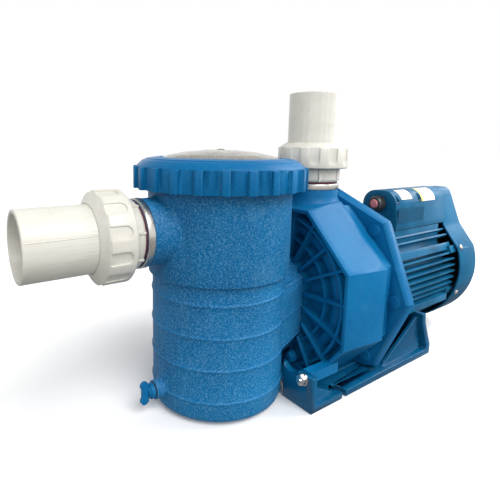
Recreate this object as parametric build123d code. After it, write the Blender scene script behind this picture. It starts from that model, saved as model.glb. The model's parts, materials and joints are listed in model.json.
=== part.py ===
from build123d import *
import os

# Pool pump with a built-in strainer pot, a close-coupled electric motor and two pipe unions.
# Frame, in mm: +X runs along the shaft from the strainer pot towards the motor, +Z is up.
# The origin is on the floor, below the middle of the base. Points in outlines for lathe()
# are (height along the axis, radius).

# ---- overall layout ----
SHAFT_Z = 140.0
POT_X = -233.0
SUCTION_Z = 264.5
DISCHARGE_X = -35.5

# ---- strainer pot, lid and basket ----
POT_RADIUS = 100.0
POT_UPPER_RADIUS = 105.6
POT_WALL = 6.0
POT_FOOT_Z = 4.0
POT_STEP_Z = 199.0
POT_DRAIN_REACH = 112.0
POT_DRAIN_Z = 33.0
POT_RIM_Z = 350.0
BAND_HEIGHTS = (34.0, 81.0, 126.5, 172.0)
BAND_RISE = 1.5
NECK_END_X = -99.0
RING_RADIUS = 121.5
RING_LUG_RADIUS = 126.5
RING_LUGS = 24
RING_LUG_ANGLE = 4.6
RING_LUG_START = 11.6
RING_TOP_Z = 363.0
LID_OPENING = 90.0
BASKET_RADIUS = 84.0
BASKET_TOP_Z = 326.0
BASKET_FOOT_Z = 26.0
HANDLE_PIVOT_Z = 310.0

# ---- pump casing ----
FACE_X = -106.0
CREASE_X = -25.0
FLANGE_X = 0.0
FLANGE_THICK = 16.0
FACE_FLAT = 141.4
CREASE_FLAT = 151.3
CREASE_CORNER = 147.2
GUTTER_X = -17.0
BACK_FLAT = 142.0
FLANGE_VERTEX = 171.0
FLANGE_BACK_VERTEX = 176.0
FACE_RIM = 6.0
RECESS_X = -80.0
CAVITY_X = -74.0
CAVITY_RADIUS = 118.0
PILOT_RADIUS = 121.0
CASING_FOOT_Z = 13.0
CASING_FOOT_HALF = 86.0
BOLT_CIRCLE = 152.0
BOLT_ANGLES = (0, 45, 135, 180, 225, 315)
DRAIN_Y = -35.0
DRAIN_Z = 27.5
LUG_BOLT_Y = 118.0
LUG_BOLT_Z = 47.5
RIB_ANGLES = (-75, -58, -42, -20, 4, 26, 43, 60, 78)
RIB_THICK = 4.2
PORT_RADIUS = 45.6
PORT_BORE = 40.0

# ---- pipe unions: distances from the port band outwards ----
BAND_WIDTH = 10.5
BAND_SEAT = 44.2
BAND_OUTER = 46.6
GASKET_THICK = 3.0
COLLAR_RADIUS = 47.2
COLLAR_END = {"suction": 29.0, "discharge": 36.0}
THREAD_LENGTH = 24.0
THREAD_RADIUS = 45.4
NUT_LENGTH = 42.0
UNION_LENGTH = {"suction": 153.0, "discharge": 159.0}
NUT_RADIUS = 59.5
TAIL_RADIUS = 43.0
SOCKET_RADIUS = 37.5
FLOW_RADIUS = 34.0
SUCTION_PORT_X = -363.0
DISCHARGE_PORT_Z = 309.0

# ---- motor ----
FRAME_FRONT_X = 34.0
FRAME_BACK_X = 250.0
FRAME_CORE = 103.0
FRAME_BORE = 96.0
FIN_RADIUS = 120.0
FIN_THICK = 3.0
COVER_RADIUS = 130.0
COVER_FRONT_X = 269.0
COVER_BACK_X = 347.0
COVER_WALL = 3.0
COVER_SCREW_ANGLES = (21, 159, 201, 339)
COVER_FACET = 124.0
COVER_FACET_ANGLE = 37.7
COVER_LUG_RADIUS = 122.5
BOX_FRONT_X = 97.0
BOX_SEAT_Z = 232.0
BOX_TOP_Z = 303.0
BOX_Y = -50.0
BOX_HALF = 38.0
BOX_SCREW_X = (104.5, 177.0)
BOX_SCREW_Y = (-80.0, -24.0)
BOX_SCREW_Z = 284.0
GLAND_Y = -49.0
GLAND_Z = 279.0

# ---- base ----
BASE_LENGTH = 328.0
BASE_WIDTH = 271.0
BASE_PLATE = 10.0
FRONT_WALL_Z = 54.0
REAR_WALL_Z = 84.0
SLOT_WIDTH = 9.0
SLOT_DEPTH = 24.0
SLOT_FROM_FRONT = 75.0
REAR_HOLE_X = 100.0
REAR_HOLE_Y = 104.0


def block(x0, x1, y0, y1, z0, z1):
    centre = Pos((x0 + x1) / 2, (y0 + y1) / 2, (z0 + z1) / 2)
    return centre * Box(x1 - x0, y1 - y0, z1 - z0)


def lathe(outline):
    """Turned solid about +Z from (height, radius) corners."""
    face = make_face(Plane.XZ * Polyline(*[(r, h) for h, r in outline], close=True))
    return revolve(face, axis=Axis.Z)


def tube(low, high, outer, inner):
    return lathe([(low, inner), (low, outer), (high, outer), (high, inner)])


def rod(low, high, radius):
    return Pos(0, 0, (low + high) / 2) * Cylinder(radius, high - low)


def joined(shapes):
    """Fuses overlapping shapes into one solid."""
    result = shapes[0]
    for shape in shapes[1:]:
        result = result + shape
    return result


def group(shapes):
    """Keeps separate solids together in one node."""
    return Compound(children=[solid for shape in shapes for solid in shape.solids()])


def on_shaft(x=0.0):
    """Turns +Z into +X and moves to the shaft line."""
    return Pos(x, 0, SHAFT_Z) * Rot(0, 90, 0)


def around(angle, radius, x=0.0):
    """Place on the shaft at an angle up from the -Y side, with local +Z pointing outwards."""
    return Pos(x, 0, SHAFT_Z) * Rot(90 - angle, 0, 0) * Pos(0, 0, radius)


def octagon(x, vertex, turn):
    plane = Plane(origin=(x, 0, SHAFT_Z), x_dir=(0, 1, 0), z_dir=(1, 0, 0))
    return plane * RegularPolygon(vertex, 8, rotation=turn)


def above_foot():
    """Everything above the face that the casing stands on."""
    return block(-400, 400, -300, 300, CASING_FOOT_Z, 600)


def section(x, points):
    """Closed outline of (y, z) corners on a plane across the shaft."""
    plane = Plane(origin=(x, 0, 0), x_dir=(0, 1, 0), z_dir=(1, 0, 0))
    return plane * make_face(Polyline(*points, close=True))


def casing_outline(flat, corner, foot_z):
    """Octagon from the distances of its flat and corner faces, cut level where it stands."""
    near = corner * 2 ** 0.5 - flat
    right = [(CASING_FOOT_HALF, foot_z), (flat, SHAFT_Z - near), (flat, SHAFT_Z + near), (near, SHAFT_Z + flat)]
    return right + [(-y, z) for y, z in reversed(right)]


def hub_outline(half, low, high, cut, low_cut):
    """Eight-sided outline of the duct between the pot and the casing."""
    flat = half * 0.45
    right = [(flat, low), (half, low + low_cut), (half, high - cut), (flat, high)]
    left = [(-y, z) for y, z in reversed(right)]
    return right + left


def hub_section(x, half, low, high, cut, low_cut, rounding):
    """The duct's outline as a face with rounded corners."""
    face = section(x, hub_outline(half, low, high, cut, low_cut))
    return fillet(face.vertices(), rounding)


# ---- strainer pot group ----

def neck_solid(grow, start_x, end_x):
    """Duct from the pot to the casing hub, wide at the pot."""
    wide = hub_section(POT_X + 58, 82 - grow, 30 + grow, 199 - grow, 34, 52, 18 - grow)
    slim = hub_section(NECK_END_X, 51 - grow, 35 + grow, 196 - grow, 28, 47, 18 - grow)
    body = joined([loft([wide, slim], ruled=True), extrude(wide, amount=-20)])
    return body & block(start_x, end_x, -120, 120, 0, 300)


def make_strainer_pot():
    low, high = POT_RADIUS, POT_UPPER_RADIUS
    outline = [
        (POT_FOOT_Z, 0), (POT_FOOT_Z, low - 7), (POT_FOOT_Z + 3, low - 2), (POT_FOOT_Z + 9, low),
        (POT_STEP_Z - 3, low), (POT_STEP_Z, high), (322, high), (328, 112), (POT_RIM_Z, 112), (POT_RIM_Z, 0),
    ]
    reach = POT_X - SUCTION_PORT_X
    boss_end = reach + BAND_WIDTH
    boss = Rot(0, -90, 0) * lathe([(70, 0), (70, PORT_RADIUS), (reach, PORT_RADIUS), (reach, BAND_SEAT),
                                   (boss_end, BAND_SEAT), (boss_end, 0)])
    shell = lathe(outline) + Pos(0, 0, SUCTION_Z) * boss
    saddle = [e for e in shell.edges() if e.geom_type not in (GeomType.CIRCLE, GeomType.LINE)]
    shell = fillet(saddle, 6)
    for height in BAND_HEIGHTS:
        bead = [(height - 2.4, low - 1), (height - 2.2, low), (height - 1.3, low + 0.8 * BAND_RISE),
                (height, low + BAND_RISE), (height + 1.3, low + 0.8 * BAND_RISE), (height + 2.2, low),
                (height + 2.4, low - 1)]
        shell = shell + lathe(bead)
    shell = Pos(POT_X, 0, 0) * shell
    shell = shell + neck_solid(0, POT_X + 40, NECK_END_X)
    beads = neck_solid(-BAND_RISE, POT_X + 60, NECK_END_X - 1)
    for height in BAND_HEIGHTS[1:]:
        shell = shell + (beads & block(-400, 0, -120, 120, height - 1.6, height + 1.6))
    drain_boss = Rot(0, -90, 0) * lathe([(80, 0), (80, 15), (102, 15), (104, 13.5), (POT_DRAIN_REACH, 13.5),
                                         (POT_DRAIN_REACH, 0)])
    shell = shell + Pos(POT_X, 0, POT_DRAIN_Z) * drain_boss
    inside = lathe([(10, 0), (10, low - 12), (16, low - POT_WALL), (POT_STEP_Z, low - POT_WALL),
                    (POT_STEP_Z + 4, high - POT_WALL), (POT_RIM_Z + 1, high - POT_WALL), (POT_RIM_Z + 1, 0)])
    shell = shell - Pos(POT_X, 0, 0) * inside
    groove = lathe([(POT_RIM_Z - 2.6, 103), (POT_RIM_Z - 2.6, 108), (POT_RIM_Z + 1, 108), (POT_RIM_Z + 1, 103)])
    shell = shell - Pos(POT_X, 0, 0) * groove
    duct = neck_solid(7, POT_X + 40, NECK_END_X - 7)
    shell = shell - duct
    shell = shell - Pos(0, 0, SHAFT_Z) * Rot(0, 90, 0) * rod(NECK_END_X - 20, NECK_END_X + 1, PORT_BORE)
    shell = shell - Pos(POT_X, 0, SUCTION_Z) * Rot(0, -90, 0) * rod(60, 150, PORT_BORE)
    shell = shell - Pos(POT_X, 0, POT_DRAIN_Z) * Rot(0, -90, 0) * rod(80, 130, 9)
    ledge = Pos(POT_X, 0, 0) * lathe([(9, 72), (9, 95), (20, 95), (25.6, 78), (25.6, 72)])
    return shell + ledge


def make_lock_ring():
    ring = lathe([(320, 113), (320, RING_RADIUS), (350.5, RING_RADIUS), (352.5, RING_RADIUS - 1.5),
                  (358.2, RING_RADIUS - 8), (359.6, RING_RADIUS - 11), (359.6, RING_RADIUS - 13),
                  (361, RING_RADIUS - 14), (RING_TOP_Z, LID_OPENING + 5), (RING_TOP_Z, LID_OPENING),
                  (357.4, LID_OPENING), (357.4, 111), (350.2, 113)])
    lugs = []
    step = 360 / RING_LUGS
    for index in range(RING_LUGS):
        lug = tube(320, 350, RING_LUG_RADIUS, RING_RADIUS - 1)
        wedge = block(0, 200, 0, 200, 300, 400) & Rot(0, 0, RING_LUG_ANGLE - 90) * block(0, 200, 0, 200, 300, 400)
        turn = RING_LUG_START - RING_LUG_ANGLE / 2 + index * step
        lugs.append(Rot(0, 0, turn) * (lug & wedge))
    return Pos(POT_X, 0, 0) * joined([ring] + lugs)


def make_strainer_lid():
    dome = lathe([
        (350.1, 0), (350.1, 109), (357.1, 109), (357.1, 89.4), (361, 88.6), (366, 76), (371, 50),
        (373.6, 22), (374, 6), (374, 0),
    ])
    hollow = lathe([(350, 0), (350, 84), (356, 82), (361.5, 72), (366.5, 48), (369, 20), (369.3, 0)])
    ribs = []
    for index in range(8):
        ribs.append(Rot(0, 0, index * 45) * block(2, 80, -1, 1, 357, 366) & dome)
    knob = rod(372, 375, 5)
    return Pos(POT_X, 0, 0) * joined([dome - hollow, knob] + ribs)


def make_lid_oring():
    return Pos(POT_X, 0, 0) * tube(POT_RIM_Z - 2.4, POT_RIM_Z + 0.1, 107.6, 103.4)


def make_strainer_basket():
    wall = 2.6
    body = lathe([(BASKET_FOOT_Z, 0), (BASKET_FOOT_Z, BASKET_RADIUS - 6), (BASKET_TOP_Z - 8, BASKET_RADIUS),
                  (BASKET_TOP_Z - 8, BASKET_RADIUS + 8), (BASKET_TOP_Z, BASKET_RADIUS + 8), (BASKET_TOP_Z, 0)])
    hollow = lathe([(BASKET_FOOT_Z + wall, 0), (BASKET_FOOT_Z + wall, BASKET_RADIUS - 6 - wall),
                    (BASKET_TOP_Z + 1, BASKET_RADIUS - wall), (BASKET_TOP_Z + 1, 0)])
    body = body - hollow
    slots = []
    for row in range(6):
        for column in range(8):
            slot = block(BASKET_RADIUS - 14, BASKET_RADIUS + 4, -22, 22, 0, 24)
            slots.append(Rot(0, 0, column * 45 + 22.5) * Pos(0, 0, BASKET_FOOT_Z + 14 + row * 46) * slot)
    for column in range(8):
        slots.append(Rot(0, 0, column * 45) * block(20, 66, -5, 5, BASKET_FOOT_Z - 1, BASKET_FOOT_Z + 4))
    inlet = Pos(0, 0, SUCTION_Z) * Rot(0, -90, 0) * rod(60, 100, 42)
    pivots = Pos(0, 0, HANDLE_PIVOT_Z) * Rot(90, 0, 0) * Cylinder(3.06, 200)
    return Pos(POT_X, 0, 0) * (body - slots - inlet - pivots)


def make_basket_handle():
    """Bail handle, standing up from the two sides of the basket rim."""
    reach, thick = BASKET_RADIUS - 12.0, 3.0
    arms = [block(-4, 4, side * reach - thick, side * reach + thick, 304, 334) for side in (-1, 1)]
    bar = block(-4, 4, -reach - thick, reach + thick, 330, 336)
    pins = [Pos(0, side * (reach + 6), HANDLE_PIVOT_Z) * Rot(90, 0, 0) * Cylinder(3, 12) for side in (-1, 1)]
    return Pos(POT_X, 0, 0) * joined(arms + [bar] + pins)


def drain_plug(wing):
    """Threaded plug along +Z with a flange and a wing to turn it by."""
    stem = lathe([(-14, 0), (-14, 7), (-12, 8.8), (0, 8.8), (0, 11), (5, 11), (6, 8), (8, 6.5), (8, 0)])
    if wing:
        grip = block(-13, 13, -2.5, 2.5, 7, 17)
        tips = [Pos(side * 11, 0, 13) * Rot(90, 0, 0) * Cylinder(6, 5) for side in (-1, 1)]
        return joined([stem, grip] + tips)
    hexagon = extrude(Plane.XY.offset(5) * RegularPolygon(9, 6), amount=8)
    return joined([stem, hexagon])


# ---- pump casing group ----

def casing_outside():
    face = section(FACE_X, casing_outline(FACE_FLAT, FACE_FLAT, CASING_FOOT_Z))
    crease = section(CREASE_X, casing_outline(CREASE_FLAT, CREASE_CORNER, CASING_FOOT_Z))
    gutter = section(GUTTER_X, casing_outline(BACK_FLAT + 2, BACK_FLAT + 1, CASING_FOOT_Z))
    back = section(FLANGE_X + 1, casing_outline(BACK_FLAT, BACK_FLAT - 1, CASING_FOOT_Z))
    front = loft([face, crease], ruled=True)
    waist = joined([loft([crease, gutter], ruled=True), loft([gutter, back], ruled=True)])
    rim = octagon(FLANGE_X + FLANGE_THICK, FLANGE_BACK_VERTEX, 0)
    flange = loft([octagon(FLANGE_X, FLANGE_VERTEX, 0), rim], ruled=True)
    return joined([front, waist, flange & above_foot()])


def casing_face_ribs():
    """Ribs and rings that stiffen the recessed front face."""
    ribs = []
    for side in (-1, 1):
        for angle in RIB_ANGLES:
            rib = block(RECESS_X - 24, RECESS_X + 2, -RIB_THICK / 2, RIB_THICK / 2, 30, 150)
            turn = (90 - angle) * side
            ribs.append(Pos(0, 0, SHAFT_Z) * Rot(turn, 0, 0) * rib)
    rings = [on_shaft(RECESS_X) * tube(-22, 2, 131, 126.5), on_shaft(RECESS_X) * tube(-15, 2, 94, 89.5)]
    scroll = on_shaft(RECESS_X + 2) * Torus(108, 11)
    return joined(ribs + rings + [scroll])


def make_volute_casing():
    body = casing_outside()
    pocket_outline = casing_outline(FACE_FLAT - FACE_RIM, FACE_FLAT - FACE_RIM, CASING_FOOT_Z + FACE_RIM)
    pocket = extrude(section(FACE_X - 1, pocket_outline), amount=RECESS_X - FACE_X + 1)
    hub = extrude(hub_section(NECK_END_X, 51, 35, 196, 28, 47, 18), amount=RECESS_X - NECK_END_X + 2)
    drain = Pos(FACE_X + 12, DRAIN_Y, DRAIN_Z) * Rot(0, -90, 0)
    ribs = casing_face_ribs() & pocket
    ribs = ribs - extrude(section(FACE_X - 2, hub_outline(54, 33, 199, 28, 47)), amount=NECK_END_X - FACE_X + 2)
    ribs = ribs - drain * rod(2, 30, 15)
    body = body - pocket + ribs + hub
    neck_height = DISCHARGE_PORT_Z + BAND_WIDTH
    neck = lathe([(240, 0), (240, 54), (284, 54), (288, 50), (293, 47.3), (299, PORT_RADIUS),
                  (DISCHARGE_PORT_Z, PORT_RADIUS), (DISCHARGE_PORT_Z, BAND_SEAT), (neck_height, BAND_SEAT),
                  (neck_height, 0)])
    neck = Pos(DISCHARGE_X, 0, 0) * neck
    body = body + (neck & block(-200, FLANGE_THICK, -100, 100, 0, 400))
    cavity = on_shaft() * lathe([(CAVITY_X, 0), (CAVITY_X, CAVITY_RADIUS - 12), (CAVITY_X + 12, CAVITY_RADIUS),
                                 (6, CAVITY_RADIUS), (6, PILOT_RADIUS), (FLANGE_THICK + 1, PILOT_RADIUS),
                                 (FLANGE_THICK + 1, 0)])
    body = body - cavity
    body = body - Pos(DISCHARGE_X, 0, 0) * rod(SHAFT_Z, neck_height + 1, 35)
    body = body - Pos(DISCHARGE_X, 0, 0) * rod(neck_height - 22, neck_height + 1, PORT_BORE)
    inlet = on_shaft() * tube(CAVITY_X - 2, CAVITY_X + 12, 44, 36)
    body = body + inlet - on_shaft() * rod(NECK_END_X - 1, CAVITY_X + 20, 36)
    body = body - on_shaft() * tube(NECK_END_X - 1, NECK_END_X + 3.2, 46.2, 41)
    for angle in BOLT_ANGLES:
        place = around(angle, BOLT_CIRCLE)
        boss = place * Pos(-1, 0, 0) * Rot(0, 90, 0) * Cylinder(10, 4)
        body = body + boss
        body = body - place * Pos(8, 0, 0) * Rot(0, 90, 0) * Cylinder(4.1, 17)
    for side in (-1, 1):
        lug = block(-BASE_LENGTH / 2 + BASE_PLATE, FACE_X + 12, side * 116 - 8, side * 116 + 8, 39, 55)
        body = body + lug
        body = body - Pos(-BASE_LENGTH / 2 + 16, side * LUG_BOLT_Y, LUG_BOLT_Z) * Rot(0, 90, 0) * Cylinder(4.05, 60)
    body = body + drain * rod(-16, 2, 12.5) - drain * rod(2, 40, 11.6)
    body = body - Pos(DISCHARGE_X, 0, 0) * tube(304, DISCHARGE_PORT_Z, 53, PORT_RADIUS)
    body = body - Pos(DISCHARGE_X, 0, 0) * tube(DISCHARGE_PORT_Z, neck_height + 20, 53, BAND_SEAT)
    return body - drain * rod(-34, 3, 9)


def make_seal_plate():
    plate = extrude(octagon(FLANGE_THICK, 169, 0), amount=8) & above_foot()
    pilot = on_shaft() * tube(6, FLANGE_THICK, PILOT_RADIUS - 0.1, 16)
    groove = on_shaft() * tube(8, 12, PILOT_RADIUS + 1, PILOT_RADIUS - 4)
    boss = on_shaft() * tube(-8, 7, 26, 16)
    body = joined([plate, pilot, boss]) - groove
    body = body - on_shaft() * rod(-20, 40, 16) - on_shaft() * rod(-9, 0, 20)
    for angle in BOLT_ANGLES:
        body = body - around(angle, BOLT_CIRCLE) * Pos(18, 0, 0) * Rot(0, 90, 0) * Cylinder(4.1, 20)
    return body


def make_casing_bolts():
    """Cap screws from the motor side into the flange."""
    bolts = []
    for angle in BOLT_ANGLES:
        screw = lathe([(0, 0), (0, 4), (34, 4), (34, 6), (40, 6), (40, 3), (37, 3), (37, 0)])
        bolts.append(around(angle, BOLT_CIRCLE) * Rot(0, 90, 0) * screw)
    return group(bolts)


def make_diffuser():
    """Vaned ring around the impeller, held on the seal plate."""
    back = on_shaft() * tube(2, 6, 116, 30)
    front = on_shaft() * tube(-64, -60, 104, 44.6)
    body = back
    for index in range(9):
        vane = block(-62, 3, -2, 2, 82, 100)
        body = body + Pos(0, 0, SHAFT_Z) * Rot(index * 40, 0, 0) * Pos(0, 0, 0) * vane
    return body + front


def make_impeller():
    hub = on_shaft() * lathe([(-50, 10), (-50, 15), (-42, 18), (-27, 18), (-27, 10)])
    back = on_shaft() * tube(-35, -31, 76, 17)
    front = on_shaft() * lathe([(-58, 33), (-58, 36), (-50, 40), (-47, 76), (-50, 76), (-53, 37)])
    body = hub + back + front
    for index in range(6):
        vane = Pos(0, 0, SHAFT_Z) * Rot(index * 60, 0, 0) * Pos(0, 14, 54) * Rot(24, 0, 0)
        body = body + vane * block(-50, -33, -1.6, 1.6, -24, 21)
    return body


def make_seal_seat():
    return on_shaft() * tube(-8, 0, 19.9, 13)


def make_seal_head():
    """Carbon face, bellows and spring of the shaft seal that turn with the shaft."""
    return on_shaft() * lathe([(-8.1, 12), (-8.1, 17), (-12, 17), (-12, 15), (-20, 15), (-20, 18),
                               (-27, 18), (-27, 12)])


def port_place(port):
    """Places a union, built along +Z from its port, on the suction or discharge side."""
    if port == "suction":
        return Pos(SUCTION_PORT_X, 0, SUCTION_Z) * Rot(0, -90, 0)
    return Pos(DISCHARGE_X, 0, DISCHARGE_PORT_Z)


# ---- pipe union pieces, built along +Z ----

def union_band():
    return lathe([(0.2, BAND_SEAT), (0.2, BAND_OUTER - 0.8), (1.4, BAND_OUTER), (9, BAND_OUTER),
                  (10.2, BAND_OUTER - 0.8), (10.2, BAND_SEAT)])


def union_gasket():
    return tube(BAND_WIDTH, BAND_WIDTH + GASKET_THICK, BAND_SEAT - 0.8, PORT_BORE)


def union_adaptor(collar_end):
    """Spigot in the port, ribbed collar, and the threaded end that the nut screws onto."""
    start = BAND_WIDTH + GASKET_THICK
    end = collar_end + THREAD_LENGTH
    body = lathe([(-6, FLOW_RADIUS), (-6, 39.6), (start, 39.6), (start, COLLAR_RADIUS - 2.6),
                  (start + 3.4, COLLAR_RADIUS), (collar_end - 2, COLLAR_RADIUS), (collar_end - 1, THREAD_RADIUS),
                  (end - 2, THREAD_RADIUS), (end, 44), (end, FLOW_RADIUS)])
    for index in range(8):
        rib = block(44, COLLAR_RADIUS + 1.4, -1.5, 1.5, start + 1, collar_end - 2)
        body = body + Rot(0, 0, index * 45 + 12) * rib
    return body - tube(end - 3, end + 1, 42, 38)


def union_oring(collar_end):
    end = collar_end + THREAD_LENGTH
    return tube(end - 2.8, end + 0.3, 41.6, 38.4)


def union_nut(collar_end):
    """Nut with a cone towards the pipe and grip pockets that are open at the cone."""
    low, high = collar_end, collar_end + NUT_LENGTH
    step, lip = low + THREAD_LENGTH - 0.4, high - 8
    bore, wide_bore = THREAD_RADIUS + 0.05, 46.6
    outline = [
        (low, bore), (low, NUT_RADIUS - 1.4), (low + 1.6, NUT_RADIUS), (high - 9.6, NUT_RADIUS),
        (high - 8.6, NUT_RADIUS - 0.6), (high - 0.6, TAIL_RADIUS + 2.6), (high, TAIL_RADIUS + 1.6),
        (high, TAIL_RADIUS + 0.5), (lip, TAIL_RADIUS + 0.5), (lip, wide_bore), (step, wide_bore), (step, bore),
    ]
    body = lathe(outline)
    floor, half = NUT_RADIUS - 1.9, 8.0
    for index in range(12):
        pocket = block(floor, 70, -half, half, low + 15, high + 2)
        end = Pos(floor + 6, 0, low + 15) * Rot(0, 90, 0) * Cylinder(half, 12)
        body = body - Rot(0, 0, index * 30 + 15) * joined([pocket, end])
    return body


def union_tailpiece(collar_end, length):
    start = collar_end + THREAD_LENGTH + 0.4
    collar = start + 9.2
    return lathe([(start, FLOW_RADIUS), (start, 46), (collar, 46), (collar, TAIL_RADIUS), (length - 1, TAIL_RADIUS),
                  (length, TAIL_RADIUS - 1), (length, SOCKET_RADIUS), (length - 64, SOCKET_RADIUS),
                  (length - 64, FLOW_RADIUS)])


# ---- base ----

def make_pump_base():
    half_l, half_w, wall = BASE_LENGTH / 2, BASE_WIDTH / 2, BASE_PLATE
    plate = block(-half_l, half_l, -half_w, half_w, 0, wall)
    pad = block(FACE_X - 4, half_l - 60, -CASING_FOOT_HALF - 6, CASING_FOOT_HALF + 6, wall - 1, CASING_FOOT_Z)
    front = block(-half_l, -half_l + wall, -half_w, half_w, 0, FRONT_WALL_Z)
    for side in (-1, 1):
        front = front - Pos(-half_l, side * 92, FRONT_WALL_Z + 12) * Rot(0, 90, 0) * Cylinder(19, 40)
        front = front - Pos(-half_l, side * LUG_BOLT_Y, LUG_BOLT_Z) * Rot(0, 90, 0) * Cylinder(4.4, 40)
    curve = [(half_l, 0), (half_l, 18), (half_l - 12, 42), (half_l - 24, 68), (half_l - 26, REAR_WALL_Z)]
    inner = [(half_l - 36, REAR_WALL_Z), (half_l - 34, 66), (half_l - 22, 39), (half_l - 12, 16), (half_l - 12, 0)]
    outline = make_face(Plane.XZ * Polyline(*(curve + inner), close=True))
    rear = extrude(outline, amount=half_w, both=True)
    rear = rear - on_shaft() * rod(100, 200, FIN_RADIUS + 2)
    parts = [plate, pad, front, rear]
    for side in (-1, 1):
        y = side * (half_w - 14)
        small = Plane.XZ * Polyline((-half_l + 5, 5), (-half_l + 62, 8), (-half_l + 5, 38), close=True)
        large = Plane.XZ * Polyline((half_l - 16, 5), (half_l - 140, 8), (half_l - 32, 78), close=True)
        for outline in (small, large):
            parts.append(Pos(0, y, 0) * extrude(make_face(outline), amount=3, both=True))
    base = joined(parts)
    for side in (-1, 1):
        x = -half_l + SLOT_FROM_FRONT
        inner = half_w - SLOT_DEPTH + SLOT_WIDTH / 2
        edge = Pos(x, side * (inner + 20), 15) * Box(SLOT_WIDTH, 40, 50)
        end = Pos(x, side * inner, 15) * Cylinder(SLOT_WIDTH / 2, 50)
        base = base - edge - end
        base = base - Pos(REAR_HOLE_X, side * REAR_HOLE_Y, 0) * Cylinder(SLOT_WIDTH / 2, 60)
    return base - Pos(POT_X, 0, 0) * rod(-1, 100, POT_RADIUS + 4)


def make_base_bolts():
    """Bolts that hold the casing lugs to the front wall, with flanged hex nuts."""
    bolts = []
    for side in (-1, 1):
        bolt = lathe([(0, 0), (0, 4), (44, 4), (44, 0)])
        nut = extrude(RegularPolygon(8.4, 6), amount=8) + rod(6, 8, 9.5)
        place = Pos(-BASE_LENGTH / 2 - 11, side * LUG_BOLT_Y, LUG_BOLT_Z) * Rot(0, 90, 0)
        bolts.append(place * joined([bolt, Pos(0, 0, 3) * nut]))
    return group(bolts)


# ---- motor ----

def hump_outline(grow):
    """Hump of the fan cover behind the terminal box, as (y, z) corners."""
    near = [(-102 - grow, 196), (-66 - grow, 286), (-58 - grow, 300 + grow)]
    far = [(-26 + grow, 300 + grow), (-18 + grow, 286), (-4 + grow, 246), (-4, 196)]
    return near + far


def make_motor_bracket():
    flange = extrude(octagon(FLANGE_THICK + 8, 165, 0), amount=10) & above_foot()
    body = flange - on_shaft() * rod(0, 60, 92)
    web = on_shaft() * tube(24, 30, 93, 20)
    housing = on_shaft() * tube(24, 48, 40, 31)
    floor = on_shaft() * tube(24, 30, 40, 16)
    spigot = on_shaft() * tube(33, 40, FRAME_BORE - 0.1, 88)
    body = joined([body, web, housing, floor, spigot]) - on_shaft() * rod(0, 60, 16)
    body = body - on_shaft() * rod(30, 60, 31)
    for angle in BOLT_ANGLES:
        body = body - around(angle, BOLT_CIRCLE) * Pos(28, 0, 0) * Rot(0, 90, 0) * Cylinder(4.1, 20)
    return body


def fin_angles(side):
    """Angles of the fins up from the side: the far side has them right up to the top."""
    lower = [18 - 6 * index for index in range(13)]
    upper = [36, 42] if side > 0 else [34 + 6.5 * index for index in range(9)]
    return lower + upper


def screw_tip(y):
    """Height of a terminal-box screw's tip: the far ones stop short of the frame's bore."""
    return 219.0 if y < BOX_Y else 234.5


def make_motor_frame():
    """Extruded frame with cooling fins, a saddle for the terminal box and two foot rails."""
    x0, x1 = FRAME_FRONT_X, FRAME_BACK_X
    body = on_shaft() * rod(x0, x1, FRAME_CORE)
    for side in (-1, 1):
        for angle in fin_angles(side):
            fin = block(x0 + 6, x1 + 17, -FIN_THICK / 2, FIN_THICK / 2, FRAME_CORE - 3.5, FIN_RADIUS)
            body = body + Pos(0, 0, SHAFT_Z) * Rot((90 - angle) * side, 0, 0) * fin
        panel = block(x0 + 6, x1 + 15, -7, 7, FRAME_CORE - 3, FIN_RADIUS - 2)
        body = body + Pos(0, 0, SHAFT_Z) * Rot((90 - 25) * side, 0, 0) * panel
        rail = block(x0 + 4, x1 - 6, side * 103 - 17, side * 103 + 17, REAR_WALL_Z, REAR_WALL_Z + 12)
        body = body + rail
    body = body + block(BOX_FRONT_X, x1, BOX_Y - BOX_HALF + 1, BOX_Y + BOX_HALF - 1, 190, BOX_SEAT_Z)
    body = body - on_shaft() * rod(x0 - 1, x1 + 20, FRAME_BORE)
    body = body - block(200, 225, BOX_Y + 14, BOX_Y + 28, 210, 250)
    for x in BOX_SCREW_X:
        for y in BOX_SCREW_Y:
            body = body - Pos(x, y, 0) * rod(screw_tip(y) - 1, BOX_SEAT_Z + 15, 2.1)
    rear = BASE_LENGTH / 2
    for side in (-1, 1):
        body = body - Pos(rear - 31, side * 112, 80) * Cylinder(2.6, 40)
    for angle in COVER_SCREW_ANGLES:
        slot = block(x1, x1 + 20, -7.5, 7.5, 90, COVER_RADIUS)
        body = body - Pos(0, 0, SHAFT_Z) * Rot(90 - angle, 0, 0) * slot
    return body


def make_rear_shield():
    x = FRAME_BACK_X
    disc = on_shaft() * tube(x, x + 6, FRAME_CORE - 4.2, 14)
    housing = on_shaft() * tube(x - 12, x + 6, 32, 26)
    spigot = on_shaft() * tube(x - 6, x + 1, FRAME_BORE - 0.1, 88)
    body = joined([disc, housing, spigot])
    for angle in COVER_SCREW_ANGLES:
        lug = block(x + 2, x + 34, -7, 7, 90, COVER_LUG_RADIUS)
        body = body + Pos(0, 0, SHAFT_Z) * Rot(90 - angle, 0, 0) * lug
    body = body - on_shaft() * rod(x + 14, x + 40, 101)
    body = body - on_shaft() * rod(x - 20, x + 4, 26)
    for angle in COVER_SCREW_ANGLES:
        body = body - around(angle, 110, x + 28) * rod(0, 30, 2.1)
    return body


def make_stator_core():
    body = on_shaft() * tube(96, 212, FRAME_BORE - 0.02, 58)
    for index in range(24):
        slot = block(90, 220, -2.6, 2.6, 56, 76)
        body = body - Pos(0, 0, SHAFT_Z) * Rot(index * 15, 0, 0) * slot
    return body


def make_stator_windings():
    ends = []
    for low in (66, 212):
        ends.append(on_shaft() * lathe([(low, 64), (low, 84), (low + 5, 88), (low + 25, 88), (low + 30, 84),
                                        (low + 30, 62), (low + 4, 62)]))
    return group(ends)


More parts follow.
